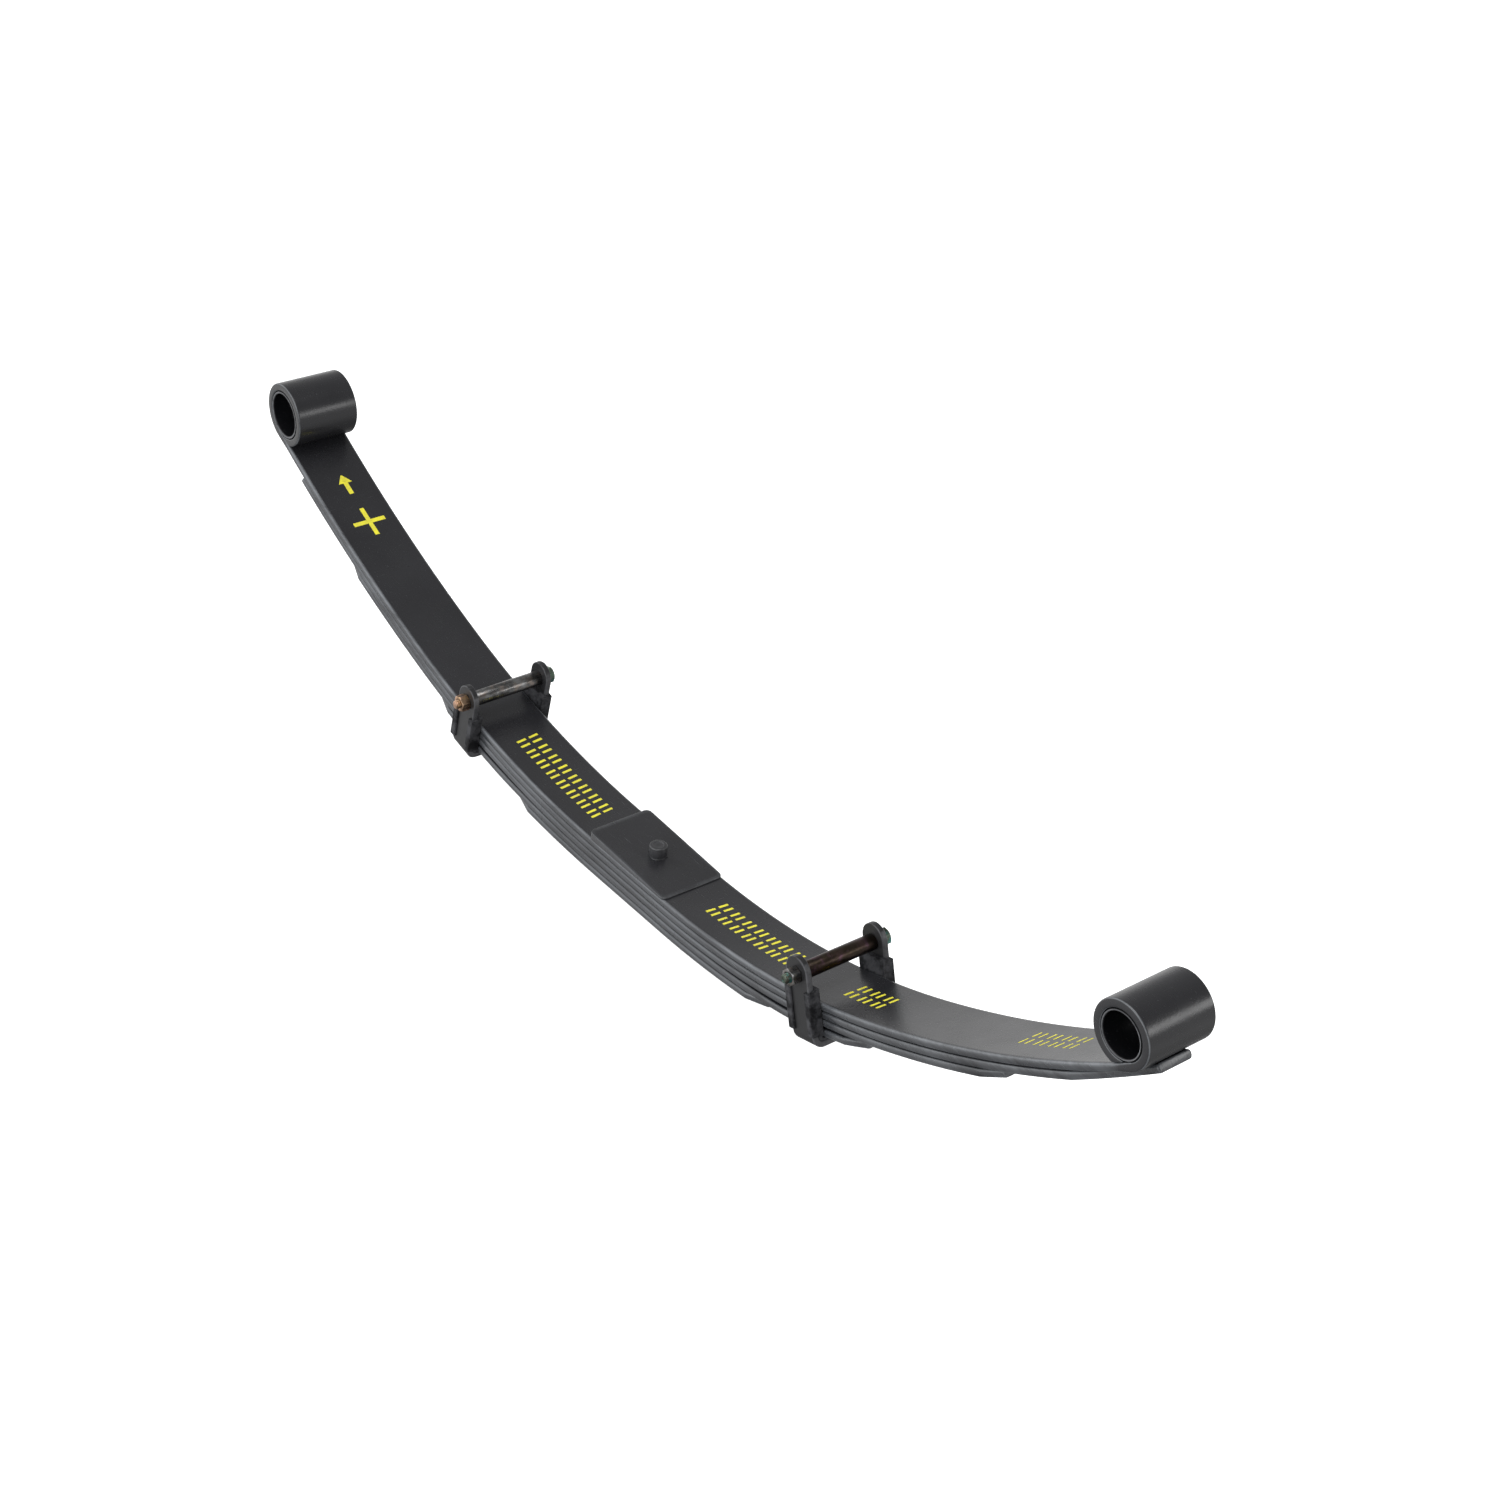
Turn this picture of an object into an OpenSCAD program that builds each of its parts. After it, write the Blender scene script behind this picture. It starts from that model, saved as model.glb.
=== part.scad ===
// Multi-leaf spring with rolled eyes, a tapered axle wedge and two bolted rebound clips.
// X runs along the spring from the front eye to the rear eye, Y across the leaves, Z up.
// The origin is where the centre bolt's axis crosses the axle seat on top of the wedge.

/* [Leaves] */
// Width of every leaf
leaf_w = 60; // [50:1:80]
// Thickness of every leaf
leaf_t = 6.8; // [5:0.1:9]
// Bevel along the long edges of the leaves
edge = 1.4; // [0.5:0.1:2.4]
// Half length of the flat seat that the axle clamps
seat_half = 45; // [35:1:60]
// Distance along the leaf from the centre bolt at which each arm becomes flatter
arm_break = 320; // [305:1:360]

/* [Front arm] */
// Radius of the main leaf from the seat to the break
front_inner_r = 865; // [700:5:1200]
// Radius of the main leaf from the break to the eye
front_outer_r = 1355; // [1000:5:2000]
// Length along the main leaf from the centre bolt to the start of the eye
front_reach = 597; // [560:1:650]
// Inner radius of the rolled eye
front_eye_r = 22.7; // [18:0.1:26]
// Inner radius of the sleeve in the eye
front_bore_r = 20; // [12:0.1:24]

/* [Rear arm] */
// Radius of the main leaf from the seat to the break
rear_inner_r = 720; // [600:5:1200]
// Radius of the main leaf from the break to the eye
rear_outer_r = 1065; // [900:5:2000]
// Length along the main leaf from the centre bolt to the start of the eye
rear_reach = 583; // [560:1:650]
// Inner radius of the rolled eye
rear_eye_r = 18.5; // [14:0.1:24]
// Inner radius of the sleeve in the eye
rear_bore_r = 16.5; // [10:0.1:22]

/* [Axle wedge and centre bolt] */
// Angle between the wedge's two faces
wedge_angle = 3; // [1:0.5:4]
// Thickness of the wedge at the centre bolt
wedge_mid_t = 4.1; // [3.5:0.1:8]
// Distance from the bolt to the wedge's thick front end
wedge_front = 56; // [45:1:60]
// Distance from the bolt to the wedge's thin rear end
wedge_rear = 49; // [40:1:50]
// Radius of the centre bolt's shank
centre_bolt_r = 5; // [4:0.5:6]
// Radius of the centre bolt's round head, which locates the axle
centre_head_r = 7.5; // [6.5:0.1:9]
// Height of the centre bolt's head above the origin
centre_head_h = 10.5; // [6:0.5:14]

/* [Rebound clips] */
// Distance along the leaf from the centre bolt to the front clip
front_clip_at = 236; // [220:1:245]
// Distance along the leaf from the centre bolt to the rear clip
rear_clip_at = 236; // [220:1:245]
// Width of the clip's steel strap
strap_w = 25; // [20:1:30]
// Thickness of the clip's steel strap
strap_t = 5; // [4:0.5:6]
// Height of the clip bolt's axis above the main leaf
clip_bolt_z = 23; // [21:0.5:30]
// Radius of the clip bolt's shank
clip_bolt_r = 4; // [3:0.5:4.5]
// Outer radius of the spacer tube on the clip bolt
spacer_r = 6.6; // [4.8:0.1:7]
// Thickness of the liner between the strap and the leaves
liner_t = 3.8; // [2:0.1:4.2]

/* [Hidden] */

$fn = 96;
leaf_facets = 360;      // steps in a full circle of a leaf's large radius
through = 200;          // length of a cutter that passes right through
hole_gap = 0.3;         // radial clearance of a bolt in its hole
small_chamfer = 1;
joint_lap = 0.005;      // lets each arc of a leaf join the one before it

// Ends of the leaves, measured along the leaf from the centre bolt
second_front = 546;
second_rear = 590;
third_front = 455;
third_rear = 444;
fourth_reach = 300;
fifth_front = 170;
fifth_rear = 180;
tip_taper = 22;         // length over which a leaf's corners are cut back
tip_inset = 5.6;        // how far a corner is cut back across the leaf
tail_taper = 72;        // the same two sizes on the second leaf's rear tail
tail_inset = 15;

// The fourth leaf leaves the third between seat and tip, by this much at most
nip_gap = 2;
nip_tip_gap = 0.15;

roll_turn = 338;        // turn of the rolled eyes, whose ends are cut to lie on the leaf
roll_gap = 0.3;         // space between the cut end of a roll and the leaf
sleeve_gap = 0.05;      // clearance of a sleeve in its rolled eye

wedge_corner = 5;
wedge_relief = 0.1;     // clears the leaf where it starts to rise under the wedge
spot_face_r = 8.5;      // flat pocket in the wedge under the bolt head
spot_face_z = -0.5;
nut_face_r = 10.5;      // flat pocket in the fifth leaf over the nut
nut_face_depth = 0.5;

clip_gap = 2.6;         // space between the fourth leaf and the strap's floor
lug_rise = 2;           // height of the lugs' centre above the clip bolt's axis
strap_bend_r = 5;       // inner radius of the strap's bends
liner_foot_end = 10;    // distance from the middle at which a liner's foot stops
lip_w = 6.5;            // lips of a liner, folded over the strap's outer face
lip_t = 1.9;
liner_wall = 2;
liner_top = 13;
rivet_r = 4;
rivet_head_r = 8;
rivet_head_h = 3.5;
rivet_recess = 1;       // depth of the rivet's end below the fourth leaf's upper face

steel_black = [0.16, 0.16, 0.17];
steel_grey = [0.3, 0.3, 0.31];
plastic_black = [0.08, 0.08, 0.08];
zinc = [0.45, 0.36, 0.27];

front_radii = [front_inner_r, front_outer_r];
rear_radii = [rear_inner_r, rear_outer_r];

// ---- Arms as chains of arcs: each entry is [radius of the upper face, degrees] ----

// Arcs of a leaf that lies `depth` below the main leaf and ends at `reach`
function arm_arcs(radii, reach, depth) = [
    for (i = [0:1])
        let (from = i == 0 ? seat_half : arm_break)
        let (to = i == 0 ? min(reach, arm_break) : reach)
        if (to > from)
            [radii[i] + depth, (to - from) / radii[i] * 180 / PI]
];

// Half the length of an arm, from the seat to its tip
function half_arm(reach) = (reach - seat_half) / 2;

// Curvature that the fourth leaf gives up over the first half of its arm
function nip(reach) = 1.5 * nip_gap / pow(half_arm(reach), 2);

// The fourth leaf first falls away from the third, then curls back up to it
function nip_radii(radius, reach) = [
    round(1 / (1 / radius - nip(reach))),
    round(1 / (1 / radius + 3 * nip(reach) - 2 * nip_tip_gap / pow(half_arm(reach), 2)))
];
function fourth_arcs(radius, reach) = [
    for (r = nip_radii(radius, reach)) [r, half_arm(reach) / r * 180 / PI]
];
function fifth_arcs(radius, reach) =
    let (r = nip_radii(radius, fourth_reach)[0])
    [[r + leaf_t, (reach - seat_half) / r * 180 / PI]];

// Space between the third and fourth leaves at a distance along the arm
function nip_at(at, reach) =
    let (half = half_arm(reach))
    let (past = at - seat_half - half)
    nip(reach) * (half * half / 2 + half * past)
        - (3 * nip(reach) / 2 - nip_tip_gap / (half * half)) * past * past;

// Moves its children to the end of the first `count` arcs, heading along the leaf
module at_end(arcs, count, i = 0) {
    if (i < count) {
        r = arcs[i][0];
        turn = arcs[i][1];
        translate([r * sin(turn), 0, r - r * cos(turn)])
            rotate([0, -turn, 0])
                at_end(arcs, count, i + 1)
                    children();
    } else {
        children();
    }
}

// Moves its children from the main leaf's seat to the origin's frame
module from_seat() {
    translate([0, 0, -wedge_mid_t])
        children();
}

// Turns its children to the front arm
module to_front() {
    mirror([1, 0, 0])
        children();
}

// ---- Leaves ----

// Section of a leaf with its upper face at `r` from the axis and bevelled long edges
module leaf_section(r = 0) {
    half = leaf_w / 2;
    translate([r, 0])
        polygon([
            [0, edge - half], [edge, -half], [leaf_t - edge, -half], [leaf_t, edge - half],
            [leaf_t, half - edge], [leaf_t - edge, half], [edge, half], [0, half - edge]
        ]);
}

// One arc of a leaf, starting `back` millimetres early
module leaf_arc(r, turn, back) {
    lap = back / r * 180 / PI;
    translate([0, 0, r])
        rotate([90, 90, 0])
            rotate([0, 0, -lap])
                rotate_extrude(angle = turn + lap, $fn = r > 100 ? leaf_facets : $fn)
                    leaf_section(r);
}

module arm(arcs) {
    translate([seat_half, 0, 0])
        for (i = [0:len(arcs) - 1])
            at_end(arcs, i)
                leaf_arc(arcs[i][0], arcs[i][1], i == 0 ? 0 : joint_lap);
}

module seat() {
    translate([-seat_half, 0, 0])
        rotate([0, 90, 0])
            linear_extrude(2 * seat_half)
                leaf_section();
}

// Rolled eye at the end of an arm, cut where the roll comes back down to the leaf
module rolled_eye(arcs, r) {
    translate([seat_half, 0, 0])
        at_end(arcs, len(arcs))
            difference() {
                leaf_arc(r, roll_turn, joint_lap);
                translate([-2 * r, -leaf_w, roll_gap - 2 * r])
                    cube([2 * r - roll_gap, 2 * leaf_w, 2 * r]);
            }
}

// Two triangles that cut a leaf's corners back at the end of an arm
module corner_cuts(arcs, taper, inset) {
    half = leaf_w / 2;
    spare = taper / 4;      // the cut runs this far past both of its ends
    run_out = inset * spare / taper;
    translate([seat_half, 0, 0])
        at_end(arcs, len(arcs))
            translate([0, 0, -through / 2])
                linear_extrude(through)
                    for (side = [0, 1])
                        mirror([0, side])
                            polygon([
                                [-taper - spare, half + run_out],
                                [spare, half + run_out],
                                [spare, half - inset - run_out]
                            ]);
}

module bolt_hole() {
    translate([0, 0, -through / 2])
        cylinder(r = centre_bolt_r + hole_gap, h = through);
}

// A leaf lying `depth` below the main leaf, drilled for the centre bolt
module leaf(front_arcs, rear_arcs, depth) {
    from_seat()
        translate([0, 0, -depth])
            difference() {
                union() {
                    seat();
                    to_front() arm(front_arcs);
                    arm(rear_arcs);
                }
                bolt_hole();
            }
}

module main_leaf() {
    front = arm_arcs(front_radii, front_reach, 0);
    rear = arm_arcs(rear_radii, rear_reach, 0);
    color(steel_black) {
        leaf(front, rear, 0);
        from_seat() {
            to_front() rolled_eye(front, front_eye_r);
            rolled_eye(rear, rear_eye_r);
        }
    }
}

module second_leaf() {
    depth = leaf_t;
    front = arm_arcs(front_radii, second_front, depth);
    rear = arm_arcs(rear_radii, second_rear, depth);
    color(steel_black)
        difference() {
            leaf(front, rear, depth);
            from_seat()
                translate([0, 0, -depth])
                    corner_cuts(rear, tail_taper, tail_inset);
        }
}

// A shorter leaf with its corners cut back at both ends
module short_leaf(front_arcs, rear_arcs, depth) {
    color(steel_black)
        difference() {
            leaf(front_arcs, rear_arcs, depth);
            from_seat()
                translate([0, 0, -depth]) {
                    to_front() corner_cuts(front_arcs, tip_taper, tip_inset);
                    corner_cuts(rear_arcs, tip_taper, tip_inset);
                }
        }
}

module third_leaf() {
    depth = 2 * leaf_t;
    short_leaf(
        arm_arcs(front_radii, third_front, depth),
        arm_arcs(rear_radii, third_rear, depth),
        depth
    );
}

module rivet_hole() {
    translate([0, 0, -through / 2])
        cylinder(r = rivet_r + 2 * hole_gap, h = through / 2);
}

module fourth_leaf() {
    depth = 3 * leaf_t;
    color(steel_black)
        difference() {
            short_leaf(
                fourth_arcs(front_inner_r + depth, fourth_reach),
                fourth_arcs(rear_inner_r + depth, fourth_reach),
                depth
            );
            at_front_clip() rivet_hole();
            at_rear_clip() rivet_hole();
        }
}

module fifth_leaf() {
    depth = 3 * leaf_t;
    color(steel_black)
        difference() {
            short_leaf(
                fifth_arcs(front_inner_r + depth, fifth_front),
                fifth_arcs(rear_inner_r + depth, fifth_rear),
                depth + leaf_t
            );
            translate([0, 0, nut_top - through])
                cylinder(r = nut_face_r, h = through);
        }
}

// ---- Axle wedge, centre bolt and eye sleeves ----

module axle_wedge() {
    slope = tan(wedge_angle);
    length = wedge_front + wedge_rear;
    color(steel_black)
        difference() {
            intersection() {
                from_seat()
                    rotate([90, 0, 0])
                        linear_extrude(through, center = true)
                            polygon([
                                [-wedge_front, 0], [wedge_rear, 0],
                                [wedge_rear, wedge_mid_t - wedge_rear * slope],
                                [-wedge_front, wedge_mid_t + wedge_front * slope]
                            ]);
                translate([-wedge_front, -leaf_w / 2, -through / 2])
                    linear_extrude(through) {
                        translate([wedge_corner, 0])
                            square([length - 2 * wedge_corner, leaf_w]);
                        translate([0, wedge_corner])
                            square([length, leaf_w - 2 * wedge_corner]);
                        for (x = [wedge_corner, length - wedge_corner])
                            for (y = [wedge_corner, leaf_w - wedge_corner])
                                translate([x, y])
                                    circle(wedge_corner);
                    }
            }
            bolt_hole();
            translate([0, 0, spot_face_z])
                cylinder(r = spot_face_r, h = through);
            for (x = [-seat_half - through, seat_half])
                translate([x, -leaf_w, -wedge_mid_t - wedge_relief])
                    cube([through, 2 * leaf_w, 2 * wedge_relief]);
        }
}

nut_top = -wedge_mid_t - 5 * leaf_t + nut_face_depth;
centre_nut_h = 8;
centre_nut_flats = 17;

module centre_bolt() {
    bottom = nut_top - centre_nut_h;
    color(steel_grey) {
        translate([0, 0, bottom + small_chamfer])
            cylinder(r = centre_bolt_r, h = spot_face_z - bottom - small_chamfer);
        translate([0, 0, bottom])
            cylinder(r1 = centre_bolt_r - small_chamfer, r2 = centre_bolt_r, h = small_chamfer);
        translate([0, 0, spot_face_z])
            cylinder(r = centre_head_r, h = centre_head_h - spot_face_z - small_chamfer);
        translate([0, 0, centre_head_h - small_chamfer])
            cylinder(r1 = centre_head_r, r2 = centre_head_r - small_chamfer, h = small_chamfer);
    }
}

// Hexagon of height `h` with both rims turned to a cone and an optional bore
module hexagon_nut(flats, h, bore) {
    corner = flats / sqrt(3);
    difference() {
        intersection() {
            cylinder(r = corner, h = h, $fn = 6);
            union() {
                cylinder(r1 = flats / 2, r2 = corner, h = small_chamfer);
                translate([0, 0, small_chamfer])
                    cylinder(r = corner, h = h - 2 * small_chamfer);
                translate([0, 0, h - small_chamfer])
                    cylinder(r1 = corner, r2 = flats / 2, h = small_chamfer);
            }
        }
        if (bore > 0)
            translate([0, 0, -1])
                cylinder(r = bore, h = h + 2);
    }
}

module centre_nut() {
    color(steel_grey)
        translate([0, 0, nut_top - centre_nut_h])
            hexagon_nut(centre_nut_flats, centre_nut_h, centre_bolt_r + sleeve_gap);
}

module sleeve(arcs, eye_r, bore_r) {
    from_seat()
        translate([seat_half, 0, 0])
            at_end(arcs, len(arcs))
                translate([0, 0, eye_r])
                    rotate([90, 0, 0])
                        difference() {
                            cylinder(r = eye_r - sleeve_gap, h = leaf_w, center = true);
                            cylinder(r = bore_r, h = through, center = true);
                        }
}

module front_eye_sleeve() {
    color(plastic_black)
        to_front() sleeve(arm_arcs(front_radii, front_reach, 0), front_eye_r, front_bore_r);
}

module rear_eye_sleeve() {
    color(plastic_black)
        sleeve(arm_arcs(rear_radii, rear_reach, 0), rear_eye_r, rear_bore_r);
}

// ---- Rebound clips, drawn around a point on the main leaf's upper face ----

module at_front_clip() {
    arcs = arm_arcs(front_radii, front_clip_at, 0);
    from_seat()
        to_front()
            translate([seat_half, 0, 0])
                at_end(arcs, len(arcs))
                    children();
}

module at_rear_clip() {
    arcs = arm_arcs(rear_radii, rear_clip_at, 0);
    from_seat()
        translate([seat_half, 0, 0])
            at_end(arcs, len(arcs))
                children();
}

clip_at = (front_clip_at + rear_clip_at) / 2;
fourth_top = -3 * leaf_t - nip_at(clip_at, fourth_reach);
strap_floor = fourth_top - leaf_t - clip_gap;
leg_in = leaf_w / 2 + hole_gap + liner_t;
leg_out = leg_in + strap_t;
bend_z = strap_floor + strap_bend_r;

// One upright of the strap, standing at `y`, with a round lug for the bolt
module strap_leg(y) {
    translate([0, y + strap_t, 0])
        rotate([90, 0, 0])
            linear_extrude(strap_t)
                difference() {
                    union() {
                        translate([-strap_w / 2, bend_z])
                            square([strap_w, clip_bolt_z + lug_rise - bend_z]);
                        translate([0, clip_bolt_z + lug_rise])
                            circle(strap_w / 2);
                    }
                    translate([0, clip_bolt_z])
                        circle(clip_bolt_r + hole_gap);
                }
}

module strap_bend() {
    translate([strap_w / 2, leg_in - strap_bend_r, bend_z])
        rotate([0, -90, 0])
            rotate([0, 0, 90])
                rotate_extrude(angle = 90)
                    translate([strap_bend_r, 0])
                        square([strap_t, strap_w]);
}

module clip_strap() {
    floor_half = leg_in - strap_bend_r;
    color(steel_grey)
        difference() {
            union() {
                strap_leg(leg_in);
                strap_leg(-leg_out);
                strap_bend();
                mirror([0, 1, 0]) strap_bend();
                translate([-strap_w / 2, -floor_half, strap_floor - strap_t])
                    cube([strap_w, 2 * floor_half, strap_t]);
            }
            rivet_hole();
        }
}

// Liner's section across the leaves: a wall, a rounded corner and a foot under the fourth leaf
module liner_section() {
    inner = leaf_w / 2 + hole_gap;
    corner = leg_in - strap_bend_r;
    height = liner_top - bend_z;
    difference() {
        union() {
            translate([sleeve_gap - leg_in, bend_z])
                square([leg_in, height]);
            translate([-corner, bend_z])
                circle(strap_bend_r - sleeve_gap);
            translate([-corner, strap_floor + sleeve_gap])
                square([corner, strap_bend_r]);
        }
        translate([-inner, strap_floor + clip_gap - sleeve_gap])
            square([leaf_w, height + strap_bend_r]);
        translate([-liner_foot_end, strap_floor])
            square([leaf_w, clip_gap]);
    }
}

// Liner on the left leg, whose sides fold around the strap
module clip_liner() {
    inner = leaf_w / 2 + hole_gap;
    outer = leg_out + sleeve_gap + lip_t;
    side = strap_w / 2 + sleeve_gap;
    full = side + liner_wall;
    color(plastic_black) {
        translate([-side, 0, 0])
            rotate([90, 0, 90])
                linear_extrude(2 * side)
                    liner_section();
        translate([0, 0, bend_z])
            linear_extrude(liner_top - bend_z)
                difference() {
                    translate([-full, -outer])
                        square([2 * full, outer - inner]);
                    translate([-side, -leg_out - sleeve_gap])
                        square([2 * side, strap_t + 2 * sleeve_gap]);
                    translate([lip_w - full, -outer - 1])
                        square([2 * (full - lip_w), outer - leg_out]);
                }
    }
}

module clip_spacer() {
    color(zinc)
        translate([0, 0, clip_bolt_z])
            rotate([90, 0, 0])
                difference() {
                    cylinder(r = spacer_r, h = 2 * leg_in, center = true);
                    cylinder(r = clip_bolt_r + hole_gap, h = through, center = true);
                }
}

clip_flats = 13;
clip_head_h = 8;
clip_nut_h = 8;
clip_bolt_end = 4;

module clip_bolt() {
    length = 2 * leg_out + clip_nut_h + clip_bolt_end;
    color(zinc)
        translate([0, leg_out, clip_bolt_z])
            rotate([90, 0, 0]) {
                translate([0, 0, -clip_head_h])
                    hexagon_nut(clip_flats, clip_head_h, 0);
                cylinder(r = clip_bolt_r, h = length - small_chamfer);
                translate([0, 0, length - small_chamfer])
                    cylinder(
                        r1 = clip_bolt_r, r2 = clip_bolt_r - small_chamfer, h = small_chamfer
                    );
            }
}

module clip_nut() {
    color(zinc)
        translate([0, -leg_out, clip_bolt_z])
            rotate([90, 0, 0])
                hexagon_nut(clip_flats, clip_nut_h, clip_bolt_r + sleeve_gap);
}

module clip_rivet() {
    bottom = strap_floor - strap_t;
    color(steel_grey) {
        translate([0, 0, bottom])
            cylinder(r = rivet_r, h = fourth_top - rivet_recess - bottom);
        translate([0, 0, bottom - rivet_head_h + small_chamfer])
            cylinder(r = rivet_head_r, h = rivet_head_h - small_chamfer);
        translate([0, 0, bottom - rivet_head_h])
            cylinder(r1 = rivet_head_r - small_chamfer, r2 = rivet_head_r, h = small_chamfer);
    }
}

module front_clip_strap() { at_front_clip() clip_strap(); }
module front_clip_left_liner() { at_front_clip() clip_liner(); }
module front_clip_right_liner() { at_front_clip() mirror([0, 1, 0]) clip_liner(); }
module front_clip_spacer() { at_front_clip() clip_spacer(); }
module front_clip_bolt() { at_front_clip() clip_bolt(); }
module front_clip_nut() { at_front_clip() clip_nut(); }
module front_clip_rivet() { at_front_clip() clip_rivet(); }
module rear_clip_strap() { at_rear_clip() clip_strap(); }
module rear_clip_left_liner() { at_rear_clip() clip_liner(); }
module rear_clip_right_liner() { at_rear_clip() mirror([0, 1, 0]) clip_liner(); }
module rear_clip_spacer() { at_rear_clip() clip_spacer(); }
module rear_clip_bolt() { at_rear_clip() clip_bolt(); }
module rear_clip_nut() { at_rear_clip() clip_nut(); }
module rear_clip_rivet() { at_rear_clip() clip_rivet(); }

main_leaf();
second_leaf();
third_leaf();
fourth_leaf();
fifth_leaf();
axle_wedge();
centre_bolt();
centre_nut();
front_eye_sleeve();
rear_eye_sleeve();
front_clip_strap();
front_clip_left_liner();
front_clip_right_liner();
front_clip_spacer();
front_clip_bolt();
front_clip_nut();
front_clip_rivet();
rear_clip_strap();
rear_clip_left_liner();
rear_clip_right_liner();
rear_clip_spacer();
rear_clip_bolt();
rear_clip_nut();
rear_clip_rivet();
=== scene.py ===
import bmesh
import bpy
import math
from mathutils import Matrix, Vector


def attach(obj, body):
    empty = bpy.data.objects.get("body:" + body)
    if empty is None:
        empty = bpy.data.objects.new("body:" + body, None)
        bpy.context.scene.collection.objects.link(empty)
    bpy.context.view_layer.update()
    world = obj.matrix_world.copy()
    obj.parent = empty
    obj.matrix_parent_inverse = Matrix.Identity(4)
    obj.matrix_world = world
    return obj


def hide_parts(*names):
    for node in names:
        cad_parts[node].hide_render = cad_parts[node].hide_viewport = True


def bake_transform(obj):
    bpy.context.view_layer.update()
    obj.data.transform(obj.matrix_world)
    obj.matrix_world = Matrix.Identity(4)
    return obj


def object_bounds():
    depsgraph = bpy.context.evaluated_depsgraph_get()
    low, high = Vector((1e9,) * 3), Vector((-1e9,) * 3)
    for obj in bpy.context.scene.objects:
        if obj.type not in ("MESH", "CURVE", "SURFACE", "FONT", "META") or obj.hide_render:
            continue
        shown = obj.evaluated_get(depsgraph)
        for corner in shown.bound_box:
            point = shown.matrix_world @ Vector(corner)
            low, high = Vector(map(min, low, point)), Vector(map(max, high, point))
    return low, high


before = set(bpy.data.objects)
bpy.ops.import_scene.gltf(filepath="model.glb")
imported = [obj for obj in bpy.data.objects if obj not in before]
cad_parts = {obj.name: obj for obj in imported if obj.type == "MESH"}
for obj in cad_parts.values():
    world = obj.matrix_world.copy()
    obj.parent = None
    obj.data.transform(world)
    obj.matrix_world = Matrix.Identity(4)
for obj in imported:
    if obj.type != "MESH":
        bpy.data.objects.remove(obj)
CAD_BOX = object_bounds()

MM = 0.001
SIDES = {"front": -1.0, "rear": 1.0}

# ---- Driving sizes of the spring, in millimetres ----

# Leaves: distances are measured along the leaf from the centre bolt
LEAF_W, LEAF_T = 60.0, 6.8
HALF_W = LEAF_W / 2
SEAT_HALF, ARM_BREAK = 45.0, 320.0
RADII = {"front": (865.0, 1355.0), "rear": (720.0, 1065.0)}
REACH = {"front": 597.0, "rear": 583.0}
SECOND = {"front": 546.0, "rear": 590.0}
THIRD = {"front": 455.0, "rear": 444.0}
FOURTH = {"front": 300.0, "rear": 300.0}
FIFTH = {"front": 170.0, "rear": 180.0}
NIP_GAP, NIP_TIP_GAP = 2.0, 0.15
TIP_TAPER, TIP_INSET = 22.0, 5.6
TAIL_TAPER, TAIL_INSET = 72.0, 15.0

# Rolled eyes and their sleeves: inner radii, turn in degrees, space between the roll's end and the leaf
EYE_R = {"front": 22.7, "rear": 18.5}
BORE_R = {"front": 20.0, "rear": 16.5}
ROLL, ROLL_GAP = 338.0, 0.3
SLEEVE_STEPS = 96

# Axle wedge, centre bolt and nut
WEDGE_MID, WEDGE_FRONT, WEDGE_REAR, WEDGE_ANGLE, WEDGE_CORNER = 4.1, 56.0, 49.0, 3.0, 5.0
HEAD_R, HEAD_TOP, SPOT_FACE_Z = 7.5, 10.5, -0.5
CENTRE_BOLT_R, CENTRE_FLATS, CENTRE_NUT_H, NUT_POCKET = 5.0, 17.0, 8.0, 0.5

# Rebound clips
CLIP_AT = 236.0
STRAP_W, STRAP_T, LEG_IN = 25.0, 5.0, 34.1
LEG_OUT = LEG_IN + STRAP_T
STRAP_FLOOR, STRAP_BEND = -31.71, 5.0
BOLT_Z, LUG_RISE = 23.0, 2.0
PACK_GAP = 2.6
LINER_TOP, LINER_GAP = 13.0, 0.05
CLIP_BOLT_R, CLIP_FLATS, CLIP_NUT_H, CLIP_BOLT_END = 4.0, 13.0, 8.0, 11.9
SPACER_R, SPACER_BORE = 6.6, 4.2

# Rounding of the leaves' long edges. The side value gives the leaves' flat sides pale streaks that also paint
# a sheen; the eye's negative value paints the roll's flat sides near black as shade.
LEAF_ROUND, EYE_ROUND = 2.8, 1.3
SIDE_WEAR_AND_SHEEN, EYE_PAINTED_SHADE = 0.35, -1.0


# ---- Materials ----

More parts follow.
